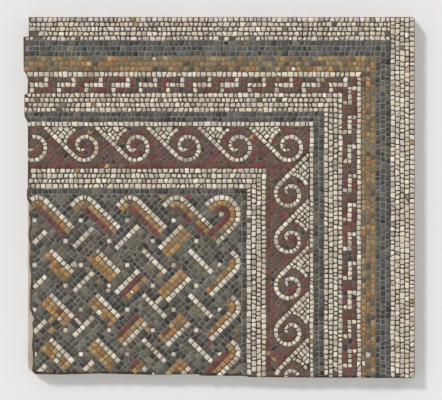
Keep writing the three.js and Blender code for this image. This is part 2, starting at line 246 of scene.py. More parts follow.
# %% The broken edge, from the outline of the mortar bed
def rim_of(rings):
    """The outline round a patch of faces that join, point after point."""
    edges = set()
    for ring in rings:
        for a, b in sides(ring):
            if (b, a) in edges:
                edges.remove((b, a))
            else:
                edges.add((a, b))
    following = dict(edges)
    start = min(following)
    outline = [start]
    while following[outline[-1]] != start:
        outline.append(following[outline[-1]])
    return outline


def front_outline(node):
    """The outline of a plate's front face, with the plate on the left hand."""
    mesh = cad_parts[node].data
    points = [(round(v.co.x / MM, 2), round(v.co.z / MM, 2)) for v in mesh.vertices]
    front = [face for face in mesh.polygons if face.normal.y < -0.9]
    return rim_of([points[i] for i in face.vertices] for face in front)


def drawn_in(outline, by):
    """Each point of an outline moved inwards."""
    moved = []
    for i, (x, z) in enumerate(outline):
        (ax, az), (bx, bz) = outline[i - 1], outline[(i + 1) % len(outline)]
        length = math.dist((ax, az), (bx, bz))
        moved.append((x - (bz - az) / length * by, z + (bx - ax) / length * by))
    return moved


def within(x, z, outline):
    inside = False
    for (ax, az), (bx, bz) in sides(outline):
        if (az > z) != (bz > z) and x < ax + (z - az) / (bz - az) * (bx - ax):
            inside = not inside
    return inside


break_line = front_outline("mortar_bed")


def on_panel(x, z):
    return within(x, z, break_line)


SOUND = 8  # mm: the break doesn't reach the top and right edges
RAGGED_RIM = 13.0  # how much more of the bed may show at the field's broken edges
CLEAN_RIM = 3.5  # and at those of the borders, which broke cleaner
CHIPPING = 17.0  # mm between the places where more of it shows


def by_field(x, z):
    return x < field_high.x and z < field_high.z


def rim_at(x, z):
    """How far inside the bed's edge the stones end."""
    if x > RIGHT - SOUND or z > TOP - SOUND:
        return BED_RIM
    most = RAGGED_RIM if by_field(x, z) else CLEAN_RIM
    bite = noise.noise(Vector((x / CHIPPING, z / CHIPPING, 3.0))) + 0.05
    return BED_RIM + most * max(0.0, bite)


def broken_off(outline):
    """What the floor's broken edge leaves of a stone."""
    left = outline
    _, (x, z) = area_and_middle(outline)
    if not on_panel(x, z):
        return []
    for a, b in sides(break_line):
        px, pz, gap = nearest_between(a, b, x, z)
        if gap < 2 * COURSE and left:
            away_x, away_z = (px - x) / gap, (pz - z) / gap
            rim = rim_at(px, pz)
            left = cut(left, px - away_x * rim, pz - away_z * rim, away_x, away_z)
    return left


print("points on the broken edge:", len(break_line))

# %% [markdown]
# ## The stones themselves
#
# Five sorts of stone went into this floor, and the mosaicist picked them over by shade,
# which makes nine kinds here. White limestone splits badly and leaves blunt, rounded
# cubes in wide joints of brown mortar. The dark and coloured stones split cleanly and
# lie close, with grey mortar worn flush with their faces.

# %% Kinds of stone
Kind = namedtuple("Kind", "finish joint knocks share mortar depth colours")
KINDS = {
    "white": Kind(
        "white_stone", 2.5, (0.7, 3.5), 0.7, "4f4539", 2.0,
        ["cdc4b6", "c8bfb0", "c0b7a8", "b2a99b", "c6bca4", "c2b3a6", "a79d8f", "d4ccbd"],
    ),
    "bright": Kind(
        "white_stone", 2.1, (0.5, 2.6), 0.55, "453c32", 2.1,
        ["d2cabb", "cbc2b2", "c5bbaa", "b9af9f", "cfc4ac", "c8b9ab", "afa595", "d6cfc0"],
    ),
    "slate": Kind(
        "dark_stone", 1.2, (0.5, 1.6), 0.4, "8b8883", 0.6,
        ["353533", "403f3d", "4a4946", "54524f", "5c5954", "434342", "4d4c46"],
    ),
    "dark": Kind(
        "dark_stone", 1.3, (0.5, 1.8), 0.5, "7f7a70", 0.6,
        ["2b2927", "34312d", "403c36", "4a463e", "313334", "38342d", "45413b"],
    ),
    "green": Kind(
        "grey_green_stone", 1.3, (0.5, 1.8), 0.5, "7a7569", 0.6,
        ["504d43", "5b574b", "47443c", "646050", "4e4941", "5f5c52", "6e6a60"],
    ),
    "ochre": Kind(
        "ochre_stone", 1.5, (0.6, 2.2), 0.5, "6f624d", 0.8,
        ["7e6b4c", "8f7953", "6c5f49", "9a845f", "80694c", "635849", "906e49", "796d56"],
    ),
    "orange": Kind(
        "ochre_stone", 1.5, (0.6, 2.0), 0.5, "665844", 0.8,
        ["a27646", "946a41", "a88150", "8a6c46", "a4895f", "98795a"],
    ),
    "red": Kind(
        "red_stone", 1.3, (0.5, 1.8), 0.5, "6c5e52", 0.7,
        ["594640", "624d46", "5a413c", "673d3b", "544640", "5f4f46", "5b4b46", "6d3e3a"],
    ),
    "crimson": Kind(
        "red_stone", 1.3, (0.5, 1.8), 0.5, "5f5047", 0.7,
        ["6a3033", "5f2e2f", "713c35", "623f3e", "733838", "553834"],
    ),
}
ODD_STONES = {  # now and then the mosaicist took whatever lay nearest
    "white": (("bright", 0.10), ("green", 0.012), ("ochre", 0.004)),
    "bright": (("white", 0.15), ("ochre", 0.006)),
    "slate": (("dark", 0.20), ("green", 0.08)),
    "dark": (("slate", 0.25), ("green", 0.10), ("red", 0.03)),
    "green": (("dark", 0.15), ("ochre", 0.02), ("white", 0.02)),
    "ochre": (("orange", 0.12), ("green", 0.10), ("white", 0.02), ("red", 0.04)),
    "orange": (("ochre", 0.28), ("white", 0.015), ("red", 0.03)),
    "red": (("crimson", 0.16), ("dark", 0.08), ("orange", 0.015)),
    "crimson": (("red", 0.3), ("orange", 0.02)),
}

Stone = namedtuple("Stone", "piece kind cell shape")
stones = []
SQUARE = 24  # stones are looked up by squares of the panel
squares = {}


def stones_near(x, z):
    column, row = int(x // SQUARE), int(z // SQUARE)
    for i in (column - 1, column, column + 1):
        for k in (row - 1, row, row + 1):
            yield from squares.get((i, k), ())


def fitted(cell, x, z):
    """The cell with whatever is already laid round x, z kept clear of it."""
    for stone in stones_near(x, z):
        if not cell:
            break
        px, pz, gap = nearest_on(stone.cell, x, z)
        if gap <= 0:
            return []
        cell = cut(cell, px, pz, (px - x) / gap, (pz - z) / gap)
    return cell


LEAST_STONE = 14  # mm2 of face; anything less is mortar
LEAST_SIDE = 0.05  # mm; a shorter side is left out
JOINT_SHARE = (0.3, 0.75)  # of a kind's joint, that comes off each stone
LOST_STONES = [(-459, 414), (-455, 402)]  # near the upper left corner
LOST_REACH = 8  # mm round each of them
RAGGED = 0.2  # share of the stones at the broken edges that fell out
BREAK_ROOM = 0.7 * COURSE  # a stone nearer to the break than this lies at it


def fell_out(x, z):
    """Whether a stone at a broken edge is lost. The top and the right are sound."""
    if x > RIGHT - COURSE or z > TOP - COURSE:
        return False
    return chance.random() < RAGGED and not all(
        on_panel(x + a, z + b) for a, b in ((-BREAK_ROOM, 0), (0, -BREAK_ROOM))
    )


def lay(piece, kind, cell, fit=False, pure=False):
    """Sets one stone, and notes its cell so that later ones keep clear."""
    area, (x, z) = area_and_middle(cell)
    if area < 0:
        cell, area = cell[::-1], -area
    if fit:
        cell = fitted(cell, x, z)
        area, (x, z) = area_and_middle(cell) if len(cell) > 2 else (0, (x, z))
    lost = any(math.dist((x, z), at) < LOST_REACH for at in LOST_STONES)
    if area < LEAST_STONE or lost or fell_out(x, z):
        return
    if not pure:
        pick = chance.random()
        for odd, share in ODD_STONES[kind]:
            if pick < share:
                kind = odd
                break
            pick -= share
    stock = KINDS[kind]
    shape = shrunk(cell, stock.joint * chance.uniform(*JOINT_SHARE))
    shape = knocked(shape, *stock.knocks, stock.share) if len(shape) > 2 else []
    shape = broken_off(shape) if len(shape) > 2 else []
    shape = [p for p, q in sides(shape) if math.dist(p, q) > LEAST_SIDE]
    if len(shape) > 2 and area_and_middle(shape)[0] > LEAST_STONE:
        stone = Stone(piece, kind, cell, shape)
        stones.append(stone)
        squares.setdefault((int(x // SQUARE), int(z // SQUARE)), []).append(stone)


# %% [markdown]
# ## The courses of the borders
#
# The mosaicist stretched a cord for every second or third course and filled in between
# by eye, so the course lines wander by a millimetre. Each course runs along the top,
# turns the corner, and goes down the side.

# %% Course lines that wander
WANDER = (  # size and wavelength of each sway in a course line
    (0.55, 210.0),
    (0.40, 83.0),
    (0.25, 37.0),
)
sways = {
    (run, line): [chance.uniform(0, math.tau) for _ in WANDER]
    for run in ("top", "side")
    for line in range(len(depths["top"]))
}


def depth_at(run, line, along):
    """How deep a course line lies inside the panel's edge, at X or Z."""
    if line == 0:
        return -KINDS["white"].joint / 2  # the outer faces end flush with the edge
    sway = sum(
        size * math.sin(math.tau * along / wave + turn)
        for (size, wave), turn in zip(WANDER, sways[run, line])
    )
    return depths[run][line] + sway


def on_run(run, along, depth):
    return (along, TOP - depth) if run == "top" else (RIGHT - depth, along)


UNEVEN = 0.17  # how much the lengths of stones vary, as a share
SHORTEST = 0.55  # and the shares that a stone keeps between
LONGEST = 1.5


def marks_along(start, end, length):
    """Uneven stone lengths that fill a course exactly."""
    count = max(1, round(abs(end - start) / length))
    sizes = [
        max(SHORTEST, min(LONGEST, chance.gauss(1, UNEVEN))) for _ in range(count)
    ]
    scale = (end - start) / sum(sizes)
    marks = [start]
    for size in sizes:
        marks.append(marks[-1] + size * scale)
    return marks


SLANT = 0.9  # how far the two ends of a cross joint may differ
WEDGES = 0.14  # share of the cross joints that lie well askew
ASKEW = 3  # times the slant of the others


def lay_run(piece, run, line, stretches, length):
    """Lays one course between two lines. Each stretch has its own kind of stone."""
    last = None
    for start, end, kind in stretches:
        marks = marks_along(start, end, length)
        for near, far in zip(marks, marks[1:]):
            slant = chance.gauss(0, SLANT) * (ASKEW if chance.random() < WEDGES else 1)
            begin = last if last else (near, near)
            finish = (far + slant, far - slant)
            cell = [
                on_run(run, begin[0], depth_at(run, line, begin[0])),
                on_run(run, finish[0], depth_at(run, line, finish[0])),
                on_run(run, finish[1], depth_at(run, line + 1, finish[1])),
                on_run(run, begin[1], depth_at(run, line + 1, begin[1])),
            ]
            lay(piece, kind, cell, pure=kind == "bright" and piece == "stepped_fillet")
            last = finish


def corner_of(line, inner_line):
    """Where a course turns: the X of one side line and the Z of one top line."""
    x = RIGHT - depth_at("side", line, TOP - depths["top"][line])
    z = TOP - depth_at("top", inner_line, RIGHT - depths["side"][line])
    return x, z


def lay_course(piece, line, kind, length):
    x, z = corner_of(line, line + 1)
    side_kind = kind
    if piece == "outer_white_border":
        # here the side courses run up to the top edge, in better and less worn stone
        x, z = RIGHT - depths["side"][first_line["outer_slate_band"]], TOP
        side_kind = "bright"
    lay_run(piece, "top", line, [(LEFT - BEYOND, x, kind)], length)
    lay_run(piece, "side", line, [(z, FOOT - BEYOND, side_kind)], length)


# %% Plain bands
PLAIN_BANDS = {  # kind of stone, and how long the stones are cut
    "outer_white_border": ("white", 12.6),
    "outer_slate_band": ("slate", 13.6),
    "ochre_band": ("ochre", 13.4),
    "outer_white_fillet": ("bright", 12.6),
    "middle_white_band": ("white", 12.8),
    "inner_slate_band": ("slate", 13.6),
    "wave_scrolls": ("bright", 12.4),
    "inner_white_band": ("white", 12.8),
    "field_slate_line": ("slate", 13.4),
}
RED_LINE_STONE = 11.5  # and how long those of the dark red line are
courses_of = dict(BANDS)
for piece, (kind, length) in PLAIN_BANDS.items():
    for course in range(courses_of[piece]):
        lay_course(piece, first_line[piece] + course, kind, length)
lay_course("scroll_ground", first_line["scroll_ground"] + 1, "crimson", RED_LINE_STONE)
print("stones in the plain courses:", len(stones))

# %% [markdown]
# ## The stepped fillet
#
# Two dark red courses with a course of white dashes between them. At each end of a
# dash one white stone steps across to the white course outside, or to the one inside.

# %% Dashes and links
STEP_PITCH = {"top": 68, "side": 73}
STEP_DASH = 48  # the length of a dash
STEP_START = 22  # from the fillet's corner to the first dash
STEP_STONE = 12.2

steps = first_line["stepped_fillet"]
for run in ("top", "side"):
    corner = RIGHT - depths["side"][steps] if run == "top" else TOP - depths["top"][steps]
    last = LEFT - BEYOND if run == "top" else FOOT - BEYOND
    for course in range(3):
        line = steps + course
        x, z = corner_of(line, line + 1)
        at = x if run == "top" else z
        stretches = []
        near = corner - STEP_START
        while near - STEP_DASH > last:
            white = [
                (near, near - COURSE),
                (near, near - STEP_DASH),
                (near - STEP_DASH + COURSE, near - STEP_DASH),
            ][course]
            stretches += [(at, white[0], "red"), (*white, "bright")]
            at = white[1]
            near -= STEP_PITCH[run]
        stretches.append((at, last, "red"))
        lay_run("stepped_fillet", run, line, stretches, STEP_STONE)
print("stones with the stepped fillet:", len(stones))

# %% [markdown]
# ## The running scrolls
#
# White lines fall from the fillet at 45 degrees and wind into an eye. Between a line
# and the scroll that it runs into lies a field of small white chips. The lines go in
# first, stone after stone along the curve, as on the real floor.

# %% Scroll lines
SCROLL_RADIUS = 33  # from the eye to the middle of the line, at its widest
SCROLL_EYE_DEPTH = 51.5  # from the fillet to the eye
SCROLL_START = -40  # degrees, from below the eye, where the line starts to wind
SCROLL_TURN = 385  # where it ends
SCROLL_STEP = 5
SCROLL_WIND_END = 400  # where it would reach the eye
SCROLL_WIND_POWER = 2
SCROLL_PITCH = {"top": 128, "side": 115.5}
SCROLL_LINE_STONE = 12.3
FIELD_RADIUS = 45  # a white field keeps this far from the eye
FIELD_REACH = 110  # and lies between these two distances along the run
FIELD_END = 24
CHIP = 9.6  # the small white chips of the fields
SCROLL_STONE = 10.6  # the stones of the ground round the scrolls
SLIP = 7.5  # slips of stone that close the last gaps


def scroll_line():
    """Points along the middle of a line, about an eye at the origin: along the run,
    and inwards."""
    touch = SCROLL_RADIUS * math.sqrt(0.5)
    fall = SCROLL_EYE_DEPTH + touch
    points = [(-touch - fall, touch - fall), (-touch, touch)]
    for angle in range(SCROLL_START, SCROLL_TURN, SCROLL_STEP):
        share = max(angle, 0) / SCROLL_WIND_END
        radius = SCROLL_RADIUS * (1 - share**SCROLL_WIND_POWER)
        turn = math.radians(angle)
        points.append((radius * math.sin(turn), radius * math.cos(turn)))
    return points


def spots_along(points, length):
    """Cross joints along a curve: where each lies, and which way the curve runs."""
    gaps = [math.dist(a, b) for a, b in zip(points, points[1:])]
    marks = marks_along(0, sum(gaps), length)
    spots = []
    walked = 0.0
    i = 0
    for mark in marks:
        while i < len(gaps) - 1 and walked + gaps[i] < mark:
            walked += gaps[i]
            i += 1
        (ax, ay), (bx, by) = points[i], points[i + 1]
        share = (mark - walked) / gaps[i]
        before = points[max(i - 1, 0)]
        after = points[min(i + 2, len(points) - 1)]
        way = math.atan2(after[1] - before[1], after[0] - before[0])
        spots.append((ax + (bx - ax) * share, ay + (by - ay) * share, way))
    return spots


def plain_place(x, z):
    return x, z


def lay_along(piece, kind, points, length, left, right, place=plain_place, pure=True):
    """A row of stones along a curve, from left to right of it."""
    spots = spots_along(points, length)
    for (ax, ay, away), (bx, by, bway) in zip(spots, spots[1:]):
        cell = []
        for x, y, way, side in (
            (ax, ay, away, left),
            (bx, by, bway, left),
            (bx, by, bway, right),
            (ax, ay, away, right),
        ):
            cell.append(place(x - math.sin(way) * side, y + math.cos(way) * side))
        lay(piece, kind, cell, fit=True, pure=pure)


ground_line = first_line["scroll_ground"]
EYE_X = RIGHT - depths["side"][ground_line] - SCROLL_EYE_DEPTH
EYE_Z = TOP - depths["top"][ground_line] - SCROLL_EYE_DEPTH
eyes = []
x = EYE_X
while x > LEFT - SCROLL_RADIUS:
    eyes.append(("top", x, EYE_Z))
    x -= SCROLL_PITCH["top"]
z = EYE_Z - SCROLL_PITCH["side"]
while z > FOOT - SCROLL_RADIUS:
    eyes.append(("side", EYE_X, z))
    z -= SCROLL_PITCH["side"]


def about_eye(eye):
    run, x, z = eye
    if run == "top":
        return lambda s, t: (x + s, z - t)
    return lambda s, t: (x - t, z - s)


half = COURSE / 2
for eye in eyes:
    place = about_eye(eye)
    points = scroll_line()
    lay_along("wave_scrolls", "bright", points, SCROLL_LINE_STONE, -half, half, place)
print("scrolls:", len(eyes), "stones so far:", len(stones))


# %% Fields of white chips
ARC_STEP = 8  # degrees
ARC_STONE = 11.5
FIELD_EDGE = (205, 262)  # degrees of white stones along the field's curved edge
FIELD_EDGE_HALF = 5  # half the width of their row
CRESCENT = (150, 255)  # and of red stones between them and the scroll
CRESCENT_HALF = 5.5


def arc(radius, start, end):
    """Points round the eye. Angles are counted from straight inwards, as the line
    winds."""
    count = max(3, int(abs(end - start) / ARC_STEP))
    angles = [math.radians(start + (end - start) * i / count) for i in range(count + 1)]
    return [(radius * math.sin(a), radius * math.cos(a)) for a in angles]


for eye in eyes:
    place = about_eye(eye)
    half = FIELD_EDGE_HALF
    points = arc(FIELD_RADIUS + half, *FIELD_EDGE)
    lay_along("wave_scrolls", "bright", points, ARC_STONE, -half, half, place)
    half = CRESCENT_HALF
    points = arc(FIELD_RADIUS - half, *CRESCENT)
    lay_along("scroll_ground", "red", points, ARC_STONE, -half, half, place, pure=False)
print("stones with the arcs:", len(stones))


# %% [markdown]
# ## Ground between the figures
#
# What the figures leave is filled in rows, and each stone is trimmed until it fits
# beside its neighbours. Here each stone starts from a spot in a row and takes the ground
# that is nearer to it than to any other.

# %% Filling
# These are shares of the pitch of the rows
SEED_ROOM = 0.24  # from a seed to the stones already laid
STONE_REACH = 0.95  # how far a stone may reach from its seed
SHARED_GROUND = 2.7  # seeds this near share the ground between them
LEAST_FILL = 0.2  # of the pitch squared: a smaller piece isn't worth setting


def tree_of(spots):
    """A tree that finds the spots (x, z) nearest to a place."""
    tree = kdtree.KDTree(len(spots))
    for i, (x, z) in enumerate(spots):
        tree.insert((x, z, 0), i)
    tree.balance()
    return tree


def fill(seeds, pitch):
    """Fits stones round seeds (x, z), and returns (x, z, cell) for each."""
    spots = [
        (x, z)
        for x, z in seeds
        if all(nearest_on(s.cell, x, z)[2] > SEED_ROOM * pitch for s in stones_near(x, z))
    ]
    tree = tree_of(spots)
    reach = STONE_REACH * pitch
    cells = []
    for i, (x, z) in enumerate(spots):
        cell = [
            (x - reach, z - reach),
            (x + reach, z - reach),
            (x + reach, z + reach),
            (x - reach, z + reach),
        ]
        for (bx, bz, _), k, gap in tree.find_range((x, z, 0), SHARED_GROUND * pitch):
            if k != i and cell and gap > 1e-6:
                cell = cut(cell, (x + bx) / 2, (z + bz) / 2, bx - x, bz - z)
        cell = fitted(cell, x, z)
        if len(cell) > 2:
            area, middle = area_and_middle(cell)
            if area > LEAST_FILL * pitch * pitch:
                cells.append((*middle, cell))
    return cells


ROW_ANGLE = 45  # degrees
ROW_SHIFT = 0.15  # of the pitch, from row to row at most
ROW_STRAY = 0.5  # how far seeds stray across a row, as a share of that along it
STRAY = 0.8  # mm
CHIP_STRAY = 0.9


def rows_over(low, high, pitch, stray):
    """Seeds in slanting rows over a rectangle."""
    turn = math.radians(ROW_ANGLE)
    way_x, way_z = math.cos(turn), math.sin(turn)
    reach = math.dist(low, high) / 2
    middle_x, middle_z = (low[0] + high[0]) / 2, (low[1] + high[1]) / 2
    steps = int(reach / pitch) + 1
    seeds = []
    for i in range(-steps, steps + 1):
        offset = ROW_SHIFT * chance.random()
        for k in range(-steps, steps + 1):
            a = (k + offset) * pitch + chance.gauss(0, stray)
            b = i * pitch + chance.gauss(0, stray * ROW_STRAY)
            x, z = middle_x + way_x * a - way_z * b, middle_z + way_z * a + way_x * b
            if low[0] < x < high[0] and low[1] < z < high[1]:
                seeds.append((x, z))
    return seeds


# %% The scrolls' ground and fields
OUTSIDE = 20  # mm: rows start this far outside the panel
PAST_EYES = 60  # and end this far past the line of the eyes

field_x = RIGHT - depths["side"][-1]
field_z = TOP - depths["top"][-1]
band_x = RIGHT - depths["side"][ground_line + 1]
band_z = TOP - depths["top"][ground_line + 1]


def in_white_field(x, z):
    """Whether a spot lies between a falling line and the scroll before it."""
    for run, eye_x, eye_z in eyes:
        s, t = (x - eye_x, eye_z - z) if run == "top" else (eye_z - z, eye_x - x)
        above_line = t < s + SCROLL_RADIUS * math.sqrt(2) - COURSE / 2
        beside_eye = -FIELD_REACH < s < -FIELD_END and math.hypot(s, t) > FIELD_RADIUS
        if above_line and beside_eye:
            return True
    return False


def over_scrolls(x, z):
    """Whether a spot lies in the L-shaped run of the scrolls."""
    return x > band_x or z > band_z


lower_left = (LEFT - OUTSIDE, FOOT - OUTSIDE)
upper_right = (EYE_X + PAST_EYES, EYE_Z + PAST_EYES)
wide = rows_over(lower_left, upper_right, SCROLL_STONE, STRAY)
small = rows_over(lower_left, upper_right, CHIP, CHIP_STRAY)
seeds = [p for p in wide if over_scrolls(*p) and not in_white_field(*p)]
chips = [p for p in small if over_scrolls(*p) and in_white_field(*p)]
narrow = rows_over(lower_left, upper_right, SLIP, STRAY)
slips = [p for p in narrow if over_scrolls(*p)]
for spots, pitch in ((chips + seeds, SCROLL_STONE), (slips, SLIP)):
    for x, z, cell in fill(spots, pitch):
        if in_white_field(x, z):
            lay("wave_scrolls", "bright", cell)
        else:
            lay("scroll_ground", "red", cell)
print("stones with the scrolls:", len(stones))

# %% [markdown]
# ## The interlaced field
#
# Strands cross at 45 degrees, each over and under in turn. A strand is one white course
# and two of colour. At the borders the strands turn back in loops.

# %% Strands
STRAND_LENGTH = 82
# From the field's upper right corner to the middle of the first strand, and on
FALLING = {"across": 112.5, "down": 66, "pitch": 115.8}
RISING = {"across": 59, "down": 117.5, "pitch": 109}
STRAND_PITCH_DOWN = 111.5
LEFT_STRAND_LENGTHS = [44, 70]  # the rising strands near the left side are shorter
SIDE_LOOP_RISE = 14  # a side loop lies this much above its row of strands
LOOP_RADIUS = 25  # to the middle of a loop's outer course
TOP_LOOP_LEG = 22  # the short leg of a loop, after which it dips under a strand
SIDE_LOOP_LEG = 16
LOOP_CLEARANCE = 1  # from a loop's white course to the edge of the field
CORNER_LOOP_RADIUS = 43
CORNER_LOOP_LEGS = (12, 60)
STRAND_STONE = 12.8  # how long the stones of a strand are cut
BEND_STEPS = 12


def straight(x, z, way, length):
    turn = math.radians(way)
    reach_x, reach_z = math.cos(turn) * length / 2, math.sin(turn) * length / 2
    return [(x - reach_x, z - reach_z), (x + reach_x, z + reach_z)]


def bent(x, z, start, turn, legs, radius):
    """A leg, a bend clockwise about x, z from the start angle, and a second leg. Inside
    the bend's own centre the two legs meet in a corner."""
    first, last = math.radians(start), math.radians(start - turn)
    first_x, first_z = math.cos(first), math.sin(first)
    last_x, last_z = math.cos(last), math.sin(last)
    leg_in, leg_out = legs
    before = (
        x + radius * first_x - leg_in * first_z,
        z + radius * first_z + leg_in * first_x,
    )
    after = (
        x + radius * last_x + leg_out * last_z,
        z + radius * last_z - leg_out * last_x,
    )
    if radius > 0:
        angles = [first + (last - first) * i / BEND_STEPS for i in range(BEND_STEPS + 1)]
        middle = [(x + radius * math.cos(a), z + radius * math.sin(a)) for a in angles]
    else:
        middle = [(x + radius * (first_x + last_x), z + radius * (first_z + last_z))]
    return [before, *middle, after]


def lay_strand(piece, points, kinds):
    """Three courses along a line, named from its left side."""
    for course, kind in enumerate(kinds):
        left = STRAND_COURSE * (1.5 - course)
        right = left - STRAND_COURSE
        lay_along(piece, kind, points, STRAND_STONE, left, right, pure=kind == "bright")


def bend_inset(radius):
    """How far the middle of a bend lies inside the edges that it runs along."""
    return radius + STRAND_COURSE / 2 + LOOP_CLEARANCE


def lay_loop(piece, bend, start, turn, legs, radius, kinds):
    """A bent strand. Its courses are counted from the outside of the bend."""
    for course, kind in enumerate(kinds):
        points = bent(*bend, start, turn, legs, radius - STRAND_COURSE * course)
        side = STRAND_COURSE / 2
        lay_along(piece, kind, points, STRAND_STONE, side, -side, pure=kind == "bright")


def edge_loop(piece, x, z, way_out, room, leg, kinds):
    """A strand that turns back at the field's edge. It meets the edge on its way out,
    and its middle lies that room inside the edge."""
    turn = LOOP_RADIUS - STRAND_COURSE
    reach = (room - bend_inset(LOOP_RADIUS)) * math.sqrt(2) + turn
    angle = math.radians(way_out)
    out_x, out_z = math.cos(angle), math.sin(angle)
    bend = (x + out_x * reach - out_z * turn, z + out_z * reach + out_x * turn)
    legs = (leg, reach + STRAND_LENGTH / 2)
    lay_loop(piece, bend, way_out, 90, legs, LOOP_RADIUS, kinds)


def count_within(first, pitch, length):
    return max(1, math.ceil((length - first) / pitch))


# %% Loops and falling strands
field_width = field_x - (LEFT + SLAB_RIM + BED_RIM)
field_height = field_z - (FOOT + SLAB_RIM + BED_RIM)
falling_columns = count_within(FALLING["across"], FALLING["pitch"], field_width)
falling_rows = count_within(FALLING["down"], STRAND_PITCH_DOWN, field_height)
eyelets = []
for column in range(falling_columns):
    x = field_x - FALLING["across"] - FALLING["pitch"] * column
    for row in range(falling_rows):
        z = field_z - FALLING["down"] - STRAND_PITCH_DOWN * row
        eyelets.append((x + FALLING["pitch"] / 2, z))
        core = "green" if column < falling_columns / 2 else "orange"
        if row == 0:
            name = f"top_loop_{column + 1}"
            kinds = ["bright", "orange", "crimson"]
            edge_loop(name, x, z, 135, FALLING["down"], TOP_LOOP_LEG, kinds)
        else:
            name = f"falling_strand_{row}_{column + 1}"
            lay_strand(name, straight(x, z, -45, STRAND_LENGTH), ["bright", core, core])
last_column = LEFT + 1.6 * FALLING["pitch"]
eyelets += [(x - FALLING["pitch"], z) for x, z in eyelets if x < last_column]

corner_inset = bend_inset(CORNER_LOOP_RADIUS)
corner_bend = (field_x - corner_inset, field_z - corner_inset)
lay_loop(
    "corner_loop", corner_bend, 135, 180, CORNER_LOOP_LEGS, CORNER_LOOP_RADIUS,
    ["bright", "orange", "crimson"],
)
eyelets[0] = corner_bend  # the corner loop winds round its own
print("stones with the falling strands:", len(stones))

# %% Side loops and rising strands
# Which side of a rising strand is white changes from place to place on this floor
COOL = ["bright", "green", "green"]
WARM = ["orange", "orange", "bright"]
DEEP = ["crimson", "orange", "bright"]
RISING_COURSES = [  # row by row from the right, each from its upper left side
    [["bright", "orange", "orange"], COOL, COOL, COOL],
    [WARM, ["bright", "crimson", "orange"], COOL, COOL],
    [WARM, DEEP, COOL, COOL],
    [WARM, DEEP, COOL, COOL],
]
rising_columns = count_within(RISING["across"], RISING["pitch"], field_width)
rising_rows = count_within(RISING["down"], STRAND_PITCH_DOWN, field_height)
for column in range(rising_columns):
    x = field_x - RISING["across"] - RISING["pitch"] * column
    from_left = rising_columns - 1 - column
    length = STRAND_LENGTH
    if from_left < len(LEFT_STRAND_LENGTHS):
        length = LEFT_STRAND_LENGTHS[from_left]
    for row in range(rising_rows):
        z = field_z - RISING["down"] - STRAND_PITCH_DOWN * row
        eyelets.append((x - RISING["pitch"] / 2, z))
        if column > 0:
            name = f"rising_strand_{row + 1}_{column}"
            kinds = RISING_COURSES[row][column - 1]
            lay_strand(name, straight(x, z, 45, length), kinds)
        elif row > 0:
            kinds = ["bright", "orange", "crimson" if row == 3 else "green"]
            name = f"side_loop_{row}"
            high = z + SIDE_LOOP_RISE
            edge_loop(name, x, high, 45, RISING["across"], SIDE_LOOP_LEG, kinds)
print("stones with the rising strands:", len(stones))

# %% The field's dark ground, with a single white stone in each eye of the interlace
EYELET_REACH = 6.4 * 1.41  # from its middle to its corners
EYELET_JOINT = 0.3
EYELET_STRAY = 8  # degrees

for x, z in eyelets:
    if x < field_x - COURSE and z < field_z - COURSE:
        first = math.radians(45 + chance.gauss(0, EYELET_STRAY))
        corners = [first + k * math.pi / 2 for k in range(4)]
        cell = [
            (x + EYELET_REACH * math.cos(turn), z + EYELET_REACH * math.sin(turn))
            for turn in corners
        ]
        cell = shrunk(cell, EYELET_JOINT)
        lay("field_ground", "bright", cell, fit=True, pure=True)

OUTLINE_ROOM = 0.75 * COURSE  # a stone nearer to a strand than this outlines it


def beside_strand(x, z):
    """Whether a stone lies in the dark course that outlines the strands."""
    return any(
        nearest_on(stone.cell, x, z)[2] < OUTLINE_ROOM
        for stone in stones_near(x, z)
        if stone.piece not in ("field_ground", "field_slate_line")
    )


for pitch in (COURSE, SLIP):
    seeds = rows_over(lower_left, (field_x, field_z), pitch, STRAY)
    for x, z, cell in fill(seeds, pitch):
        lay("field_ground", "dark" if beside_strand(x, z) else "green", cell)
print("all stones:", len(stones))

# %% [markdown]
# ## Cutting the stones in the round
#
# Each outline becomes a body twelve millimetres deep: straight sides down into the bed,
# a worn shoulder round the face, and a face that leans a little and swells in the
# middle. Every stone carries its own colour, and a number that says how near to the
# joint a point is, for the dirt that gathers there.

# %% Colour
def linear(code):
    """An sRGB hex code as linear red, green and blue."""
    parts = [int(code[i : i + 2], 16) / 255 for i in (0, 2, 4)]
    return [p / 12.92 if p <= 0.04045 else ((p + 0.055) / 1.055) ** 2.4 for p in parts]


LIGHT_STRAY = 0.09  # how much stones of one shade differ in lightness, as a share
TINT_STRAY = 0.015  # and in tint


def stone_colour(kind):
    colour = linear(chance.choice(KINDS[kind].colours))
    light = chance.gauss(1, LIGHT_STRAY)
    return [max(0.0, part * light * chance.gauss(1, TINT_STRAY)) for part in colour]


# %% Bodies
SHOULDER = 0.6  # how deep and how wide the worn edge is
FACE_LEVELS = (0.3, 0.7)  # how far the faces lie behind the foremost point
FOREMOST = 0.02  # no rim of a face comes nearer to that point than this
SWELL = 0.12
MOST_SWELL = 1.6  # times that
CREST_STRAY = 0.1  # how far the crest strays from the middle, as a share of the size
LEAN = 0.012
LEAST_SIZE = 3.0
RIM_DIRT = 0.35  # of the joint's dirt, at the rim of the face
ISLAND = 2.0  # room round a stone on the map of its piece
SIDE_STRIP = 1.2  # mm of the map for its sides
UNDERSIDE = 0.07  # the hidden underside takes this little of the map
UNDERSIDE_PLACE = 0.44  # and lies in the corner of the stone's room
MAP = "OFBake"


def new_piece(name, points, faces):
    """An object in the scene, from points in millimetres."""
    mesh = bpy.data.meshes.new(name)
    mesh.from_pydata([[part * MM for part in point] for point in points], [], faces)
    piece = bpy.data.objects.new(name, mesh)
    bpy.context.scene.collection.objects.link(piece)
    return piece


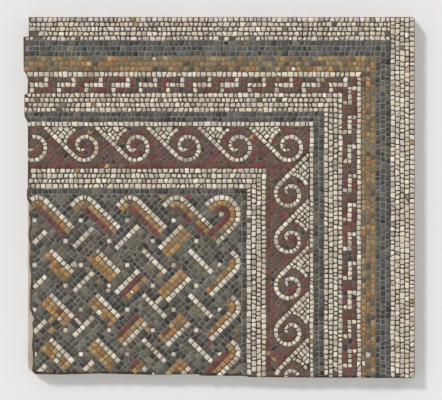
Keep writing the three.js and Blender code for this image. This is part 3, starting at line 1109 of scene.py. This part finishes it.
def carve(name, group, finishes):
    """One mesh of all the stones in a group."""
    points, faces, slots, flat, map_spots, colours, rims = [], [], [], [], [], [], []
    per_row = math.ceil(math.sqrt(len(group)))
    middles = [area_and_middle(stone.shape)[1] for stone in group]
    reaches = [
        max(math.dist(middle, point) for point in stone.shape)
        for stone, middle in zip(group, middles)
    ]
    room = 2 * (max(reaches) + ISLAND)
    for number, (stone, (mx, mz)) in enumerate(zip(group, middles)):
        count = len(stone.shape)
        colour = (*stone_colour(stone.kind), 1.0)
        face = STONE_FACE + chance.uniform(*FACE_LEVELS)
        lean_x, lean_z = chance.gauss(0, LEAN), chance.gauss(0, LEAN)
        reach = sum(math.dist((mx, mz), point) for point in stone.shape) / count
        size = max(LEAST_SIZE, reach)
        inset = 1 - SHOULDER / size
        flare = 1 + SIDE_STRIP / size
        centre = ((number % per_row + 0.5) * room, (number // per_row + 0.5) * room)
        corner = [at - room * UNDERSIDE_PLACE for at in centre]

        base = len(points)
        rings = ((1.0, STONE_BACK, 0), (1.0, face + SHOULDER, 1), (inset, face, 1))
        for scale, depth, tilted in rings:
            for x, z in stone.shape:
                dx, dz = (x - mx) * scale, (z - mz) * scale
                rest = (lean_x * dx + lean_z * dz) * tilted
                y = max(STONE_FACE + FOREMOST, depth + rest)
                points.append((mx + dx, y, mz + dz))
        shift_x = chance.gauss(0, CREST_STRAY) * size
        shift_z = chance.gauss(0, CREST_STRAY) * size
        top = max(STONE_FACE, face - SWELL * chance.uniform(0, MOST_SWELL))
        points.append((mx + shift_x, top, mz + shift_z))
        rims += [1.0] * count * 2 + [RIM_DIRT] * count + [0.0]

        def spot(i, scale):
            x, z = stone.shape[i]
            return centre[0] + (x - mx) * scale, centre[1] + (z - mz) * scale

        for i in range(count):
            k = (i + 1) % count
            foot_i, foot_k = base + i, base + k
            mid_i, mid_k = foot_i + count, foot_k + count
            top_i, top_k = mid_i + count, mid_k + count
            faces.append((foot_i, foot_k, mid_k, mid_i))
            map_spots += [spot(i, flare), spot(k, flare), spot(k, 1), spot(i, 1)]
            faces.append((mid_i, mid_k, top_k, top_i))
            map_spots += [spot(i, 1), spot(k, 1), spot(k, inset), spot(i, inset)]
            faces.append((top_i, top_k, base + 3 * count))
            map_spots += [spot(i, inset), spot(k, inset)]
            map_spots.append((centre[0] + shift_x, centre[1] + shift_z))
            flat += [True, False, False]
            colours += [colour] * (4 + 4 + 3)  # for the corners of these three faces
        faces.append(tuple(base + i for i in reversed(range(count))))
        flat.append(True)
        colours += [colour] * count
        for i in reversed(range(count)):
            x, z = stone.shape[i]
            map_spots.append(
                (corner[0] + (x - mx) * UNDERSIDE, corner[1] + (z - mz) * UNDERSIDE)
            )
        slots += [finishes.index(KINDS[stone.kind].finish)] * (3 * count + 1)

    piece = new_piece(name, points, faces)
    mesh = piece.data
    mesh.polygons.foreach_set("material_index", slots)
    mesh.polygons.foreach_set("use_smooth", [not side for side in flat])
    whole = per_row * room
    layer = mesh.uv_layers.new(name=MAP)
    layer.uv.foreach_set("vector", [part / whole for at in map_spots for part in at])
    own = mesh.color_attributes.new("stone_colour", "FLOAT_COLOR", "CORNER")
    own.data.foreach_set("color", [part for colour in colours for part in colour])
    near_joint = mesh.attributes.new("near_joint", "FLOAT", "POINT")
    near_joint.data.foreach_set("value", rims)
    mesh.update()
    return piece


# %% [markdown]
# ## Finishes
#
# The stone finishes share one recipe, because all these stones were split, set and then
# ground flat by feet: a fine crystalline grain, faint clouds, a satin polish on the face
# and dirt along the joints. The grain and the polish differ by stone.

# %% Nodes
def add_node(tree, kind, inputs=(), **settings):
    """Adds a node, with its settings, and its inputs as values or as links."""
    node = tree.nodes.new(kind)
    for name, value in settings.items():
        setattr(node, name, value)
    for name, value in dict(inputs).items():
        if isinstance(value, bpy.types.NodeSocket):
            tree.links.new(value, node.inputs[name])
        else:
            node.inputs[name].default_value = value
    return node


def new_finish(name):
    material = bpy.data.materials.new(name)
    material.use_nodes = True
    material.node_tree.nodes.clear()
    return material, material.node_tree


def grains(size_in_mm):
    """A noise scale that gives patches of about this size."""
    return 1 / (size_in_mm * MM)


def finish_stone(name, grain, cloud, contrast, polish, pits):
    """A split and worn stone: grain and cloud sizes in mm, how strong they are, how
    rough the worn face is, and how deep it is pitted."""
    material, tree = new_finish(name)
    at = add_node(tree, "ShaderNodeTexCoord").outputs["Object"]
    own = add_node(tree, "ShaderNodeAttribute", attribute_name="stone_colour")
    joint = add_node(tree, "ShaderNodeAttribute", attribute_name="near_joint")
    fine = add_node(
        tree, "ShaderNodeTexNoise",
        {"Vector": at, "Scale": grains(grain), "Detail": 3.0, "Roughness": 0.65},
    )
    broad = add_node(
        tree, "ShaderNodeTexNoise",
        {"Vector": at, "Scale": grains(cloud), "Detail": 2.0, "Distortion": 1.2},
    )
    speckle, cloudy = [
        add_node(
            tree, "ShaderNodeMapRange",
            {"Value": pattern.outputs["Fac"], "From Min": 0.36, "From Max": 0.64,
             "To Min": 1 - contrast, "To Max": 1 + contrast},
        )
        for pattern in (fine, broad)
    ]
    both = add_node(
        tree, "ShaderNodeMath",
        {0: speckle.outputs["Result"], 1: cloudy.outputs["Result"]}, operation="MULTIPLY",
    )
    stone = add_node(
        tree, "ShaderNodeVectorMath",
        {0: own.outputs["Color"], "Scale": both.outputs["Value"]}, operation="SCALE",
    )
    dirt_reach = add_node(
        tree, "ShaderNodeMath", {0: joint.outputs["Fac"], 1: 2.2}, operation="POWER",
    )
    patchy = add_node(
        tree, "ShaderNodeMapRange",
        {"Value": fine.outputs["Fac"], "From Min": 0.35, "From Max": 0.62,
         "To Min": 0.1, "To Max": 0.5},
    )
    dirt = add_node(
        tree, "ShaderNodeMath",
        {0: dirt_reach.outputs["Value"], 1: patchy.outputs["Result"]},
        operation="MULTIPLY",
    )
    soiled = add_node(
        tree, "ShaderNodeMix",
        {"Factor": dirt.outputs["Value"], "A": stone.outputs["Vector"],
         "B": (*linear("6a5f50"), 1)},
        data_type="RGBA",
    )
    worn = add_node(
        tree, "ShaderNodeMapRange",
        {"Value": fine.outputs["Fac"], "From Min": 0.3, "From Max": 0.7,
         "To Min": polish - 0.1, "To Max": polish + 0.14},
    )
    pitted = add_node(
        tree, "ShaderNodeBump",
        {"Height": fine.outputs["Fac"], "Strength": 0.6, "Distance": pits * MM},
    )
    shader = add_node(
        tree, "ShaderNodeBsdfPrincipled",
        {"Base Color": soiled.outputs["Result"], "Roughness": worn.outputs["Result"],
         "Normal": pitted.outputs["Normal"], "IOR": 1.5, "Specular IOR Level": 0.35},
    )
    add_node(tree, "ShaderNodeOutputMaterial", {"Surface": shader.outputs["BSDF"]})
    return material


# %% Stone finishes
STONE_FINISHES = {
    "white_stone": finish_stone("white_limestone", 1.8, 5.0, 0.10, 0.62, 0.35),
    "dark_stone": finish_stone("dark_slate", 1.4, 3.6, 0.28, 0.55, 0.25),
    "ochre_stone": finish_stone("ochre_limestone", 1.6, 4.2, 0.22, 0.60, 0.30),
    "red_stone": finish_stone("dark_red_marble", 1.4, 3.8, 0.26, 0.56, 0.25),
    "grey_green_stone": finish_stone("grey_green_slate", 1.5, 3.8, 0.32, 0.58, 0.25),
}

# %% Pieces of the mosaic
by_piece = {}
for stone in stones:
    by_piece.setdefault(stone.piece, []).append(stone)
for name, group in by_piece.items():
    kinds = sorted({KINDS[stone.kind].finish for stone in group})
    piece = carve(f"{name}_stones", group, kinds)
    for finish in kinds:
        piece.data.materials.append(STONE_FINISHES[finish])
    bits = name + "_cut_off"  # the parts of a band that the broken edges cut off
    stood_for = [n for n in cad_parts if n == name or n.startswith(bits)]
    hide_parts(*stood_for)
    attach(piece, "root")
left_plain = [
    n for n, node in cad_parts.items()
    if not node.hide_render and n not in ("backing_slab", "mortar_bed")
]
print("mosaic pieces:", len(by_piece), "left plain:", left_plain)

# %% [markdown]
# ## Mortar
#
# The joints are filled with lime mortar. Between white stones it has gone brown and
# lies well below the faces. Between dark stones it is grey and worn almost flush. Here
# it is one closed body with a fine grid of points for its front, and each point takes
# its level and tint from the stones nearest to it.

# %% Joint mortar
GRID = 4.0  # mm between points of its front
MORTARS = {kind: linear(stock.mortar) for kind, stock in KINDS.items()}
DEEPEST = max(stock.depth for stock in KINDS.values())
PAINTED_BREAK_SHADE = linear("2f2a24")  # painted shade: the bed's edge along the field's breaks, darkened where shade falls in the gap
PATCH_MORTAR = linear("675e51")  # where a stone is lost
BREAK_REACH = 45  # mm from the panel's left side and foot
DARK_EDGE = 6  # mm inside the break where the mortar is painted dark as shade
EDGE_DROP = 1.0  # mm that it lies deeper there
LOST_GAP = 0.75 * COURSE  # with no stone's middle nearer than this, a stone is lost
NEIGHBOURS = 3
BLEND = 1.5  # mm: how gently the mortar changes from one kind of stone to the next

nearest = tree_of([area_and_middle(stone.shape)[1] for stone in stones])


def joint_at(x, z):
    """How deep the mortar lies, and its colour, which along the field's breaks is painted
    shade.
    """
    found = nearest.find_n((x, z, 0), NEIGHBOURS)
    weights = [1 / (gap + BLEND) ** 2 for _, _, gap in found]
    whole = sum(weights)
    depth = 0.0
    colour = [0.0, 0.0, 0.0]
    near_edge = by_field(x, z) and min(x - LEFT, z - FOOT) < BREAK_REACH
    at_break = near_edge and not all(
        on_panel(x + a, z + b) for a, b in ((-DARK_EDGE, 0), (0, -DARK_EDGE))
    )
    for (_, i, _), weight in zip(found, weights):
        kind = stones[i].kind
        depth += KINDS[kind].depth * weight / whole
        colour = [c + t * weight / whole for c, t in zip(colour, MORTARS[kind])]
    # along the field's breaks the mortar lies deeper and is painted dark as shade
    if at_break:
        return depth + EDGE_DROP, PAINTED_BREAK_SHADE
    if found[0][2] > LOST_GAP:
        return depth, PATCH_MORTAR
    return depth, colour


# %% The mortar's body
BODY_INSET = BED_RIM + 1.2  # from the bed's outline to the sides of the body
FRONT_INSET = BODY_INSET + 1.2  # and to where the grid of its front may begin
EDGE_DEPTH = DEEPEST + 2.2  # how far behind the stone faces the body's edges lie
RIPPLE = 0.35  # mm
RIPPLE_WIDTH = 9
SHADING = 0.25  # how much the mortar's lightness varies, as a share
SHADE_WIDTH = 23  # mm

front_line = drawn_in(break_line, FRONT_INSET)
body_line = drawn_in(break_line, BODY_INSET)
spots = {
    (column, row)
    for row in range(int((TOP - FOOT) / GRID) + 2)
    for column in range(int((RIGHT - LEFT) / GRID) + 2)
    if within(LEFT + column * GRID, FOOT + row * GRID, front_line)
}
numbers = {}
points, tints, faces = [], [], []


def number_of(spot):
    """The number of a point of the front, which is added when it is first named."""
    if spot not in numbers:
        x, z = LEFT + spot[0] * GRID, FOOT + spot[1] * GRID
        depth, tint = joint_at(x, z)
        ripple = noise.noise(Vector((x / RIPPLE_WIDTH, z / RIPPLE_WIDTH, 0))) * RIPPLE
        light = 1 + SHADING * noise.noise(Vector((x / SHADE_WIDTH, z / SHADE_WIDTH, 7)))
        numbers[spot] = len(points)
        points.append((x, STONE_FACE + depth + RIPPLE + ripple, z))
        tints.append([part * light for part in tint])
    return numbers[spot]


for column, row in sorted(spots):
    ring = [(column, row), (column + 1, row), (column + 1, row + 1), (column, row + 1)]
    if spots.issuperset(ring):
        faces.append([number_of(spot) for spot in ring])


def between(outer, inner):
    """Triangles that fill the room between two outlines, by places in outer + inner."""
    both = outer + inner
    rings = [[(*spot, 0) for spot in ring] for ring in (outer, inner)]
    triangles = []
    for face in tessellate_polygon(rings):
        turned = area_and_middle([both[i] for i in face])[0]
        triangles.append(face if turned > 0 else face[::-1])
    return triangles


# the rim of the front slopes down to the body's sides
rim = rim_of(faces)
base, count = len(points), len(body_line)
points += [(x, STONE_FACE + EDGE_DEPTH, z) for x, z in body_line]
points += [(x, STONE_BACK, z) for x, z in body_line]
tints += [MORTARS["white"]] * (2 * count)
names = list(range(base, base + count)) + rim
rim_spots = [(points[i][0], points[i][2]) for i in rim]
faces += [[names[i] for i in face] for face in between(body_line, rim_spots)]
front_count = len(faces)
faces.append([base + count + i for i in reversed(range(count))])
for i in range(count):
    k = (i + 1) % count
    faces.append([base + count + i, base + count + k, base + k, base + i])

joint_mortar = new_piece("joint_mortar", points, faces)
mesh = joint_mortar.data
own = mesh.color_attributes.new("stone_colour", "FLOAT_COLOR", "POINT")
own.data.foreach_set("color", [part for tint in tints for part in (*tint, 1.0)])
smooth = [True] * front_count + [False] * (count + 1)
mesh.polygons.foreach_set("use_smooth", smooth)
mesh.update()
print("mortar faces:", len(faces))


# %% Mortar and plaster finishes
def finish_mortar(name, colours, grain, lumps, depth, tinted):
    """Mortar or plaster, with the sizes of its sand grains and lumps and the depth of
    its relief in mm. A tinted one takes its colour from the mesh."""
    material, tree = new_finish(name)
    at = add_node(tree, "ShaderNodeTexCoord").outputs["Object"]
    sand = add_node(
        tree, "ShaderNodeTexNoise",
        {"Vector": at, "Scale": grains(grain), "Detail": 4.0, "Roughness": 0.7},
    )
    lumpy = add_node(
        tree, "ShaderNodeTexNoise",
        {"Vector": at, "Scale": grains(lumps), "Detail": 5.0, "Roughness": 0.6},
    )
    mixed = add_node(
        tree, "ShaderNodeMix",
        {"Factor": 0.5, "A": sand.outputs["Fac"], "B": lumpy.outputs["Fac"]},
        data_type="FLOAT",
    )
    if tinted:
        own = add_node(tree, "ShaderNodeAttribute", attribute_name="stone_colour")
        shade = add_node(
            tree, "ShaderNodeMapRange",
            {"Value": mixed.outputs["Result"], "From Min": 0.35, "From Max": 0.65,
             "To Min": 0.7, "To Max": 1.3},
        )
        colour = add_node(
            tree, "ShaderNodeVectorMath",
            {0: own.outputs["Color"], "Scale": shade.outputs["Result"]},
            operation="SCALE",
        ).outputs["Vector"]
    else:
        ramp = add_node(tree, "ShaderNodeValToRGB", {"Fac": mixed.outputs["Result"]})
        first, last = ramp.color_ramp.elements
        first.position, last.position = 0.36, 0.62
        first.color = (*linear(colours[0]), 1)
        last.color = (*linear(colours[1]), 1)
        colour = ramp.outputs["Color"]
    rough = add_node(
        tree, "ShaderNodeMapRange",
        {"Value": sand.outputs["Fac"], "To Min": 0.82, "To Max": 0.98},
    )
    relief = add_node(
        tree, "ShaderNodeBump",
        {"Height": mixed.outputs["Result"], "Strength": 0.8, "Distance": depth * MM},
    )
    shader = add_node(
        tree, "ShaderNodeBsdfPrincipled",
        {"Base Color": colour, "Roughness": rough.outputs["Result"],
         "Normal": relief.outputs["Normal"], "IOR": 1.5, "Specular IOR Level": 0.2},
    )
    add_node(tree, "ShaderNodeOutputMaterial", {"Surface": shader.outputs["BSDF"]})
    return material


joint_mortar.data.materials.append(finish_mortar("lime_mortar", (), 1.2, 6.0, 0.5, True))
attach(joint_mortar, "root")

bed_finish = finish_mortar("bed_mortar", ("3d362e", "6a6156"), 1.5, 12.0, 1.2, False)
plaster = finish_mortar("cream_plaster", ("a99b87", "d8cdbc"), 1.6, 60.0, 1.2, False)
for node, finish in (("mortar_bed", bed_finish), ("backing_slab", plaster)):
    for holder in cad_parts[node].material_slots:
        holder.material = finish

# %% [markdown]
# ## The room
#
# The panel hangs on a pale wall, lit from the upper left by a large soft lamp, with
# the room's own light filling the shadows. The wall is open behind the panel, and from
# behind it lets the eye through.

# %% Wall and floor
WALL_GAP = 1.5  # between the panel's back and the wall
wall_material, tree = new_finish("pale_wall")
patches = add_node(tree, "ShaderNodeTexNoise", {"Scale": 3.0, "Detail": 3.0})
wall_tone = add_node(tree, "ShaderNodeValToRGB", {"Fac": patches.outputs["Fac"]})
for stop, tone in zip(wall_tone.color_ramp.elements, ("e2e2e2", "e4e4e4")):
    stop.color = (*linear(tone), 1)
paint = add_node(
    tree, "ShaderNodeBsdfPrincipled",
    {"Base Color": wall_tone.outputs["Color"], "Roughness": 0.95,
     "Specular IOR Level": 0.0},
)
clear = add_node(tree, "ShaderNodeBsdfTransparent")
behind = add_node(tree, "ShaderNodeNewGeometry").outputs["Backfacing"]
seen = add_node(
    tree, "ShaderNodeMixShader",
    {0: behind, 1: paint.outputs["BSDF"], 2: clear.outputs["BSDF"]},
)
add_node(tree, "ShaderNodeOutputMaterial", {"Surface": seen.outputs["Shader"]})


def sheet(name, corners, faces):
    thing = new_piece(name, corners, faces)
    thing.data.materials.append(wall_material)


FLOOR = -3200
CEILING = 2500
REACH = 4000  # of the wall and the floor, to each side
RECESS = 3  # the wall is open behind the panel, this far inside its outline
edges_of_wall = [(-REACH, FLOOR), (REACH, FLOOR), (REACH, CEILING), (-REACH, CEILING)]
opening = drawn_in(front_outline("backing_slab"), RECESS)
wall_corners = [(x, WALL_GAP, z) for x, z in edges_of_wall + opening]
sheet("pale_wall", wall_corners, between(edges_of_wall, opening))
floor_plan = ((-REACH, -REACH), (REACH, -REACH), (REACH, REACH), (-REACH, REACH))
sheet("pale_floor", [(x, y, FLOOR) for x, y in floor_plan], [(0, 1, 2, 3)])

# %% Light
scene = bpy.context.scene
scene.view_settings.view_transform = "Standard"
world = bpy.data.worlds.new("room_light")
world.use_nodes = True
scene.world = world
room = world.node_tree.nodes["Background"]
room.inputs["Color"].default_value = (1.0, 1.0, 1.0, 1)
room.inputs["Strength"].default_value = 0.74

lamp = bpy.data.lights.new("soft_lamp", "SUN")
lamp.energy = 1.50
lamp.angle = math.radians(9)
lamp_holder = bpy.data.objects.new("soft_lamp", lamp)
scene.collection.objects.link(lamp_holder)
LAMP_WAY = Vector((0.67, 1.0, -0.70))  # the way the light falls
lamp_holder.rotation_mode = "QUATERNION"
lamp_holder.rotation_quaternion = LAMP_WAY.to_track_quat("-Z", "Y")

# %% [markdown]
# ## The camera
#
# The photograph was taken straight on from a distance, so its edges stay parallel.

# %% Camera
PHOTO_WIDTH = 1105  # mm of wall across the picture, at the stone faces
PHOTO_MIDDLE = (5.0, -6.25)  # what lies at the middle of the picture
DISTANCE = 6000
camera = bpy.data.cameras.new("camera")
camera.sensor_width = 36
camera.lens = camera.sensor_width * DISTANCE / PHOTO_WIDTH
camera_holder = bpy.data.objects.new("camera", camera)
scene.collection.objects.link(camera_holder)
camera_holder.location = Vector(
    (PHOTO_MIDDLE[0], STONE_FACE - DISTANCE, PHOTO_MIDDLE[1])
) * MM
camera_holder.rotation_euler = (math.radians(90), 0, 0)
scene.camera = camera_holder
